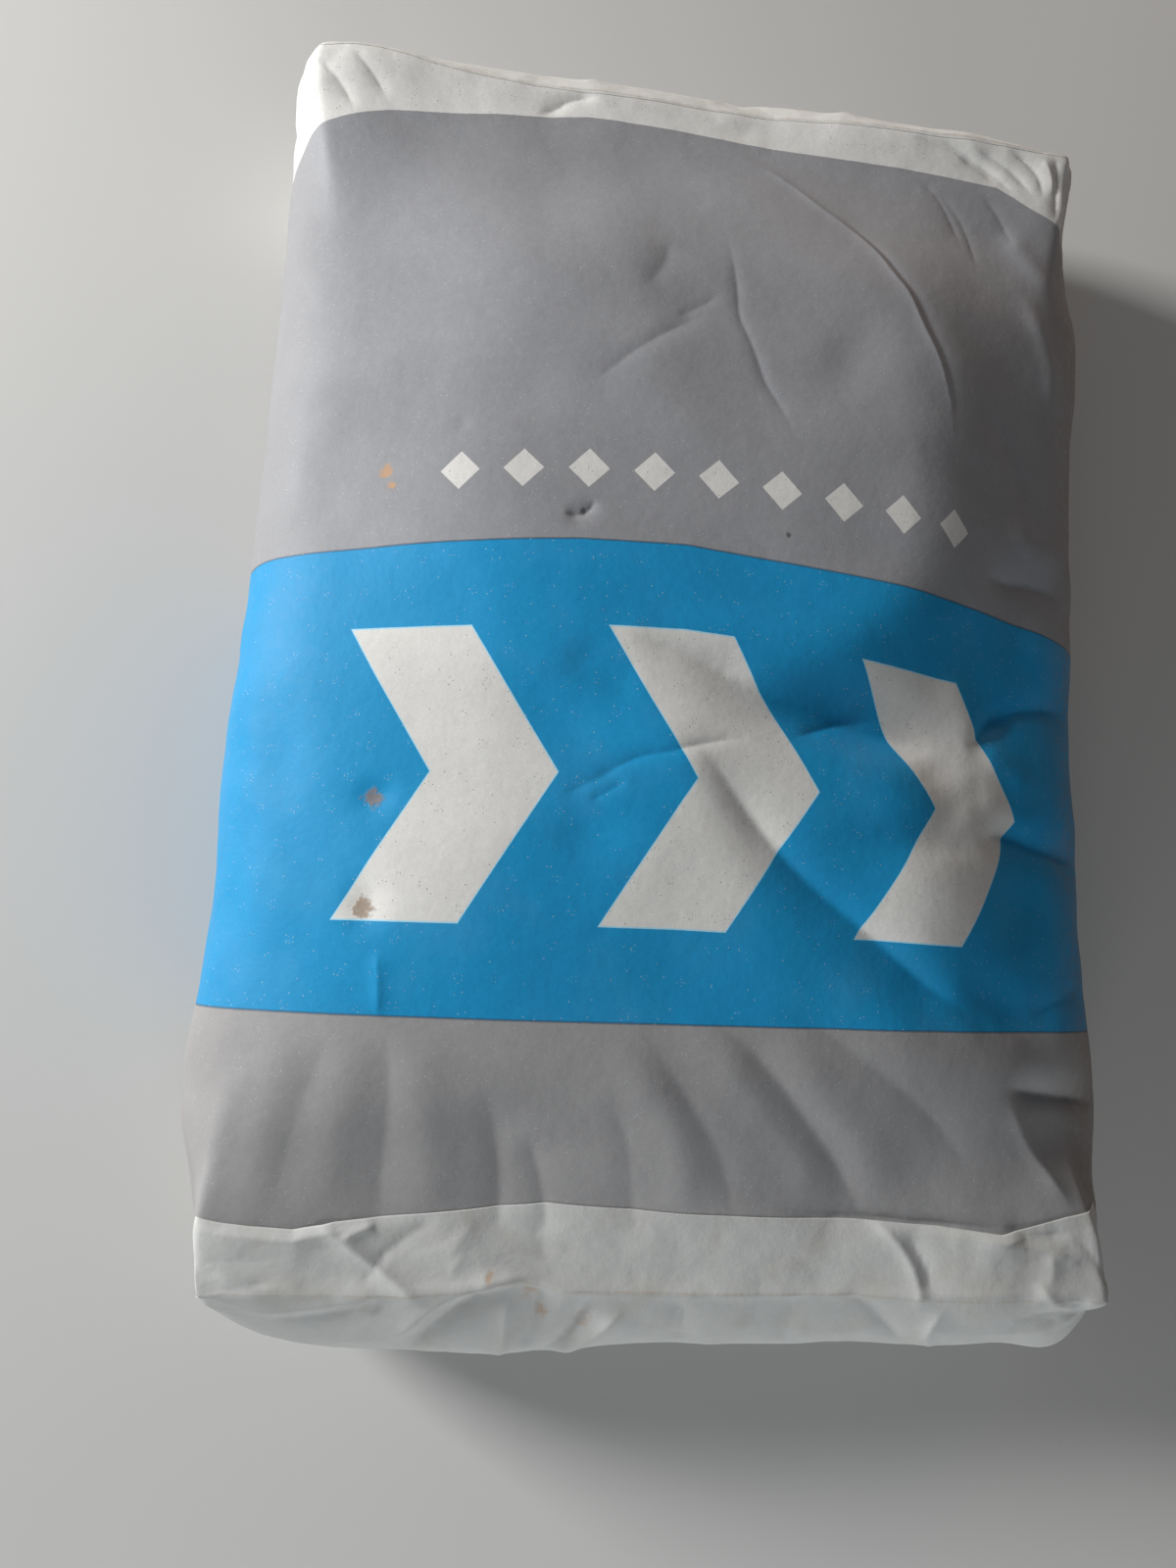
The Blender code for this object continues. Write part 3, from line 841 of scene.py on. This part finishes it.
def build_cap(name, sack, end, edge, lift, lip, folds, sides, seed):
    """A cover sheet glued over a block end, as its own layer of paper on the sack."""
    places, rows, columns = cap_places(edge, sides)
    box_places = on_paper_box(places, end)
    points, normals = follow_sack(sack, box_places)
    u, s = places.T
    sheet = np.stack([u, end * (HALF_TUBE + s)], axis=1)
    from_edge = s + read_off(edge, u)
    across = u.reshape(rows, columns)
    from_side = np.minimum(across - across[:, :1], across[:, -1:] - across).ravel()
    glued = smooth_step(np.minimum(from_edge, from_side) / 9)
    height = GLUE_GAP + cap_crumple(sheet, s, seed) * glued
    raised = read_off(lift, u) * (1 - smooth_step(from_edge / 7))
    raised += read_off(lip, u) * np.minimum(from_edge / 4, np.exp((4 - from_edge) / 14))
    height += raised * smooth_step(from_side / 6)
    height += pressed(sheet, [fold for fold in folds if fold[0] > 0], True)
    points += normals * np.maximum(height, GLUE_GAP)[:, None] * MM
    points[:, 2] = np.maximum(points[:, 2], 0.1 * MM)
    grid = np.arange(rows * columns).reshape(rows, columns)
    corners = [grid[:-1, :-1], grid[:-1, 1:], grid[1:, 1:], grid[1:, :-1]]
    faces = np.stack(corners, axis=-1).reshape(-1, 4)
    cap = new_object(name, points, (faces if end > 0 else faces[:, ::-1]).tolist())
    store_sheet(cap, sheet)
    store(cap, "paper", box_places)
    store(cap, "wear", worn(sheet, folds))
    inner = cap.vertex_groups.new(name="inner")
    for number, weight in enumerate(smooth_step(from_edge / 3)):
        inner.add([number], weight, "REPLACE")
    thick = add_thickness(cap)
    thick.vertex_group = inner.name
    thick.thickness_vertex_group = THIN_EDGE
    apply_modifiers(cap)
    return cap


def build_mouth():
    """The valve sleeve's mouth: two plies that open a little, with an uneven cut edge."""
    low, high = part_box("valve_mouth")
    rng = np.random.default_rng(31)
    points = []
    for share in np.arange(MOUTH_ROWS + 1) / MOUTH_ROWS:
        for turn in np.linspace(0, 2 * np.pi, MOUTH_COLUMNS, endpoint=False):
            ragged = 0.7 * MM * math.sin(3 * turn + 1) + 0.3 * MM * rng.uniform(-1, 1)
            opening = (1.2 + 1.6 * share) * MM * math.sin(turn)
            wave = 0.8 * MM * math.sin(4.6 * math.cos(turn) + 4 * share) * share
            up = math.cos(turn) - 0.25 * max(0, math.cos(turn))
            x = low.x - MOUTH_INSIDE + (MOUTH_LENGTH + ragged) * share
            y = (low.y + high.y) / 2 + opening + wave
            points.append((x, y, (low.z + high.z) / 2 + (high.z - low.z) / 2 * up))
    faces = []
    for row, here in product(range(MOUTH_ROWS), range(MOUTH_COLUMNS)):
        corners = [(here, row), (here + 1, row), (here + 1, row + 1), (here, row + 1)]
        faces.append([level * MOUTH_COLUMNS + number % MOUTH_COLUMNS for number, level in corners])
    mouth = new_object("valve_sleeve", points, faces)
    add_thickness(mouth)
    add_finer(mouth)
    apply_modifiers(mouth)
    return mouth


class Value:
    """A number that a material works out at each place, for use in sums and products."""

    def __init__(self, shader, socket):
        self.shader = shader
        self.socket = socket

    def worked_out(self, operation, *others):
        return self.shader.math(operation, self, *others)

    def __rsub__(self, other):
        return self.shader.math("SUBTRACT", other, self)

    __add__ = __radd__ = partialmethod(worked_out, "ADD")
    __sub__ = partialmethod(worked_out, "SUBTRACT")
    __mul__ = __rmul__ = partialmethod(worked_out, "MULTIPLY")
    __truediv__ = partialmethod(worked_out, "DIVIDE")
    __abs__ = partialmethod(worked_out, "ABSOLUTE")


class Shader:
    """Adds the nodes of one material."""

    def __init__(self, name):
        self.material = bpy.data.materials.new(name)
        self.material.use_nodes = True
        self.tree = self.material.node_tree
        self.surface = self.tree.nodes["Principled BSDF"]

    def feed(self, node, inputs):
        """Feeds values into a node's inputs, by name or number."""
        for key, value in inputs.items():
            if isinstance(value, Value):
                self.tree.links.new(value.socket, node.inputs[key])
            else:
                node.inputs[key].default_value = value

    def node(self, kind, inputs, **settings):
        """The outputs of a new node."""
        node = self.tree.nodes.new("ShaderNode" + kind)
        for name, setting in settings.items():
            setattr(node, name, setting)
        self.feed(node, inputs)
        return [Value(self, socket) for socket in node.outputs]

    def kept_places(self):
        """What the mesh keeps at each place: its place on the paper box, its u and v, and its wear."""
        names = ("paper", "sheet", "wear")
        _, vectors, numbers, _ = zip(*(self.node("Attribute", {}, attribute_name=name) for name in names))
        box, sheet, _ = vectors
        u, v, _ = self.node("SeparateXYZ", {0: sheet})
        return box, u, v, numbers[2]

    def vector(self, x, y):
        return self.node("CombineXYZ", {0: x, 1: y})[0]

    def math(self, operation, *values):
        return self.node("Math", dict(enumerate(values)), operation=operation)[0]

    def distance(self, first, second):
        return self.math("SQRT", first * first + second * second)

    def either(self, *values):
        """The largest of some values."""
        largest = values[0]
        for value in values[1:]:
            largest = self.math("MAXIMUM", largest, value)
        return largest

    def rise(self, value, low, high):
        """0 below low and 1 above high, or the other way round where high is the lower one."""
        ends = (low, high, 0, 1) if low < high else (high, low, 1, 0)
        return self.node("MapRange", dict(enumerate((value, *ends))), interpolation_type="SMOOTHSTEP")[0]

    def printed(self, inside):
        """1 inside a printed shape and 0 outside it, from how far inside it a place is."""
        return self.rise(inside, -PRINT_BLUR, PRINT_BLUR)

    def noise(self, vector, scale, detail, roughness=0.55):
        inputs = {"Vector": vector, "Scale": scale, "Detail": detail, "Roughness": roughness}
        return self.node("TexNoise", inputs)[0]

    def cells(self, vector, scale):
        """The distance to the nearest of some scattered points, and a random value for each point."""
        inputs = {"Vector": vector, "Scale": scale}
        distance, colour = self.node("TexVoronoi", inputs, voronoi_dimensions="2D")[:2]
        return distance, self.node("SeparateColor", {0: colour})[0]

    def blend(self, share, first, second):
        """One colour over another."""
        first, second = ((*colour, 1) if isinstance(colour, tuple) else colour for colour in (first, second))
        return self.node("Mix", {0: share, 6: first, 7: second}, data_type="RGBA")[2]

    def shaded(self, colour, tone):
        """The colour times a grey value."""
        return self.node("VectorMath", {0: colour, "Scale": tone}, operation="SCALE")[0]

    def spots(self, u, v, ragged, places):
        """1 inside ragged spots on the sheet and 0 outside them."""
        found = []
        for place_u, place_v, radius in places:
            distance = self.distance(u - place_u * MM, v - place_v * MM)
            distance = distance + (ragged - 0.5) * (radius * 2.4 * MM)
            found.append(self.rise(distance, radius * MM, radius * 0.35 * MM))
        return self.either(*found)

    def finish(self, colour, roughness, relief, depth, specular):
        """The material, with a relief of a depth on its surface."""
        normal = self.node("Bump", {"Strength": 1, "Distance": depth, "Height": relief})[0]
        self.feed(self.surface, {
            "Base Color": colour,
            "Roughness": roughness,
            "Normal": normal,
            "Specular IOR Level": specular,
        })
        return self.material


def add_chevrons(shader, u, v):
    """How far inside the large chevrons a place is, in metres."""
    across = abs(v - CHEVRON_MIDDLE)
    turn = (across * CHEVRON_LEAN + u - CHEVRON_START) / CHEVRON_PITCH
    from_stroke = abs(shader.math("FRACT", turn) - 0.5) * CHEVRON_PITCH
    inside = shader.math("MINIMUM", CHEVRON_STROKE / 2 - from_stroke, CHEVRON_HEIGHT / 2 - across)
    row = shader.rise(turn, -0.001, 0.001) * shader.rise(turn, CHEVRON_COUNT + 0.001, CHEVRON_COUNT - 0.001)
    return inside - (1 - row)


def add_diamonds(shader, u, v):
    """How far inside the row of small diamonds a place is, in metres."""
    along = (shader.math("FRACT", u / DIAMOND_PITCH + 0.5) - 0.5) * DIAMOND_PITCH
    inside = DIAMOND_SIZE - (abs(along) + abs(v - DIAMOND_ROW))
    return inside - shader.rise(abs(u), DIAMOND_REACH, DIAMOND_REACH + PRINT_BLUR)


def add_needle_holes(shader, u, v):
    """How much of a needle hole is at each place: loose groups of tiny holes, in staggered rows."""
    row = shader.math("ROUND", v / HOLE_ROWS)
    moved = u + shader.math("PINGPONG", row, 1) * (HOLE_PITCH / 2)
    column = shader.math("ROUND", moved / HOLE_PITCH)
    chance = shader.node("TexWhiteNoise", {"Vector": shader.vector(row, column)})[0]
    first = moved - column * HOLE_PITCH + (chance - 0.5) * (3 * MM)
    second = (v - row * HOLE_ROWS - chance * (2 * MM)) * 1.2
    group = shader.rise(shader.distance(first, second), HOLE_GROUP + 0.3 * MM, HOLE_GROUP - 0.3 * MM)
    distance, tint = shader.cells(shader.vector(u, v), 1 / HOLE_SPACING)
    hole = shader.rise(distance - tint * (HOLE_RADIUS / HOLE_SPACING), 0.05, -0.05)
    present = shader.rise(chance, 0.30, 0.34)
    lone = shader.rise(tint, 0.975, 0.985)
    return hole * shader.either(group * present, lone)


def add_print(shader, u, v, ragged):
    """The print's colour, and where it leaves the paper bare."""
    edge = v + (ragged - 0.5) * (0.35 * MM)
    from_near, from_far, from_white = (edge - line * MM for line in (BAND_NEAR, BAND_FAR, WHITE_FROM))
    far = shader.printed(from_far)
    margin = shader.printed(from_white)
    overprint = shader.rise(shader.math("MINIMUM", abs(from_near), abs(from_far)), 0.65 * MM, 0.35 * MM)
    ink = shader.blend(far, NEAR_GREY_AND_PAINTED_LIGHT, GREY_FAR)
    ink = shader.blend(shader.printed(from_near) * (1 - far), ink, BLUE)
    ink = shader.blend(overprint * 0.55, ink, OVERPRINT)
    chevrons = add_chevrons(shader, u, v + (ragged - 0.5) * (0.2 * MM))
    ink = shader.blend(shader.rise(chevrons, -0.75 * MM, -0.55 * MM) * 0.85, ink, HALO)
    diamonds = add_diamonds(shader, u, v)
    return ink, shader.either(shader.printed(chevrons), shader.printed(diamonds), margin)


def printed_paper():
    """White sack paper printed in grey and blue, with its needle holes, rubbed folds, dirt, fibres and
    painted brown shade on its flanks.
    """
    shader = Shader("printed_paper")
    place, u, v, wear = shader.kept_places()
    cloud = shader.noise(place, 28, 3)
    mottle = shader.noise(place, 260, 4, 0.6)
    fibre = shader.noise(place, 1500, 4, 0.65)
    ragged = shader.noise(place, 330, 4, 0.7)

    ink, bare = add_print(shader, u, v, ragged)
    specks = shader.rise(fibre, 0.66, 0.78) * 0.14
    rubbed = shader.rise(wear * (ragged + 0.2), 0.4, 0.9) * 0.4
    bare_paper = shader.either(bare, specks, rubbed)
    colour = shader.blend(bare_paper, ink, PAPER_WHITE)
    colour = shader.shaded(colour, 0.72 + cloud * 0.10 + mottle * 0.14 + fibre * 0.32)
    holes = add_needle_holes(shader, u, v)
    hole_colour = shader.blend(bare, HOLE_IN_INK, HOLE_IN_PAPER)
    colour = shader.blend(holes * (0.4 + bare * 0.25), colour, hole_colour)

    tears = shader.spots(u, v, ragged, TEARS)
    colour = shader.blend(tears * 0.75, colour, TORN)
    colour = shader.blend(shader.spots(u, v, ragged, RUST_MARKS) * 0.7, colour, RUST)
    colour = shader.blend(shader.spots(u, v, ragged, SMUDGES) * 0.8, colour, SMUDGE)
    colour = shader.blend(shader.rise(cloud, 0.45, 0.75) * 0.025, colour, DUST)
    # Painted shade with a brown tint on both flanks, stronger on the right one, broken up by the mottle
    sides = shader.rise(abs(u), 175 * MM, 240 * MM) * 0.22
    right_flank_shade = shader.rise(u, 165 * MM, 205 * MM) * 0.5
    painted_flank_shade = shader.either(sides, right_flank_shade) * shader.rise(mottle, 0.2, 0.6)
    colour = shader.blend(painted_flank_shade, colour, FLANK_SHADE_BROWN)

    roughness = 0.50 + bare_paper * 0.14 + mottle * 0.14
    relief = fibre * 0.35 + mottle + holes * 0.35 + shader.noise(place, 95, 2) * 2.6 + tears * ragged * 3
    return shader.finish(colour, roughness, relief, 0.09 * MM, 0.22)


def cover_paper():
    """White cover sheets, soiled a little, with rubbed brown folds and rust."""
    shader = Shader("cover_paper")
    place, u, v, wear = shader.kept_places()
    cloud = shader.noise(place, 22, 4)
    mottle = shader.noise(place, 230, 4, 0.6)
    fibre = shader.noise(place, 1400, 4, 0.65)
    ragged = shader.noise(place, 170, 5, 0.7)
    # The near cover sheet gets a darker white than the far one, which has the sack's paper white
    colour = shader.blend(shader.rise(v, -1 * MM, 1 * MM), COVER_WHITE, PAPER_WHITE)
    colour = shader.shaded(colour, 0.80 + cloud * 0.14 + mottle * 0.12 + fibre * 0.12)
    soiled = shader.rise(shader.noise(place, 48, 5, 0.65), 0.48, 0.72) * 0.30
    colour = shader.blend(soiled, colour, SOILED)
    rubbed = shader.rise(wear * (ragged + 0.15), 0.38, 0.80) * 0.45
    colour = shader.blend(rubbed, colour, RUBBED_FOLD)
    stain = shader.spots(u, v, ragged, COVER_RUST) * shader.rise(mottle, 0.35, 0.65) * 0.55
    colour = shader.blend(stain, colour, RUST_STAIN)
    relief = fibre * 0.4 + mottle * 1.2 + ragged * 1.6
    return shader.finish(colour, 0.58 + mottle * 0.2, relief, 0.12 * MM, 0.35)


def kraft_paper():
    """Brown kraft: the inner plies, seen at the valve's mouth."""
    shader = Shader("kraft_paper")
    _, _, _, place, *_ = shader.node("TexCoord", {})
    mottle = shader.noise(place, 240, 4, 0.6)
    fibre = shader.noise(place, 1500, 4, 0.65)
    colour = shader.shaded(KRAFT, 0.74 + mottle * 0.26 + fibre * 0.26)
    return shader.finish(colour, 0.62 + mottle * 0.2, fibre * 0.5 + mottle * 1.2, 0.1 * MM, 0.3)


def add_camera():
    camera = placed("camera", bpy.data.cameras.new("camera"))
    rotation = Matrix.Rotation(VIEW_TURN.length, 4, VIEW_TURN.normalized())
    camera.matrix_world = Matrix.Translation(VIEW_PLACE) @ rotation
    camera.data.sensor_width = SENSOR
    camera.data.lens = SENSOR * FOCAL_SHARE
    camera.data.clip_start = 0.01
    bpy.context.scene.camera = camera


def add_light(name, place, size, energy, colour):
    light = bpy.data.lights.new(name, "AREA")
    light.energy = energy
    light.size = size
    light.color = colour
    lamp = placed(name, light)
    lamp.location = place
    lamp.rotation_euler = Vector(place).to_track_quat("Z", "Y").to_euler()


def add_studio():
    bpy.ops.mesh.primitive_plane_add(size=8)
    floor = bpy.context.object
    floor.name = "floor"
    paint = Shader("floor")
    paint.feed(paint.surface, {"Base Color": (*FLOOR, 1), "Roughness": 0.8})
    floor.data.materials.append(paint.material)
    world = bpy.data.worlds.new("studio")
    world.use_nodes = True
    background = world.node_tree.nodes["Background"]
    background.inputs["Color"].default_value = (*SKY, 1)
    background.inputs["Strength"].default_value = SKY_STRENGTH
    bpy.context.scene.world = world
    for light in LIGHTS:
        add_light(*light)
    bpy.context.scene.view_settings.view_transform = "Standard"


def dress(piece, node, material):
    piece.data.materials.append(material)
    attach(piece, "root")
    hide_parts(node)


add_camera()
sack = build_sack()
dress(sack, "sack", printed_paper())
cover = cover_paper()
near_cap = build_cap("near_cover", sack, -1, NEAR_EDGE, NEAR_LIFT, NEAR_LIP, NEAR_CAP_FOLDS, NEAR_SIDES, 40)
dress(near_cap, "base_cap", cover)
far_cap = build_cap("far_cover", sack, 1, FAR_EDGE, FLAT, FLAT, FAR_CAP_FOLDS, FAR_SIDES, 50)
dress(far_cap, "valve_cap", cover)
dress(build_mouth(), "valve_mouth", kraft_paper())
add_studio()
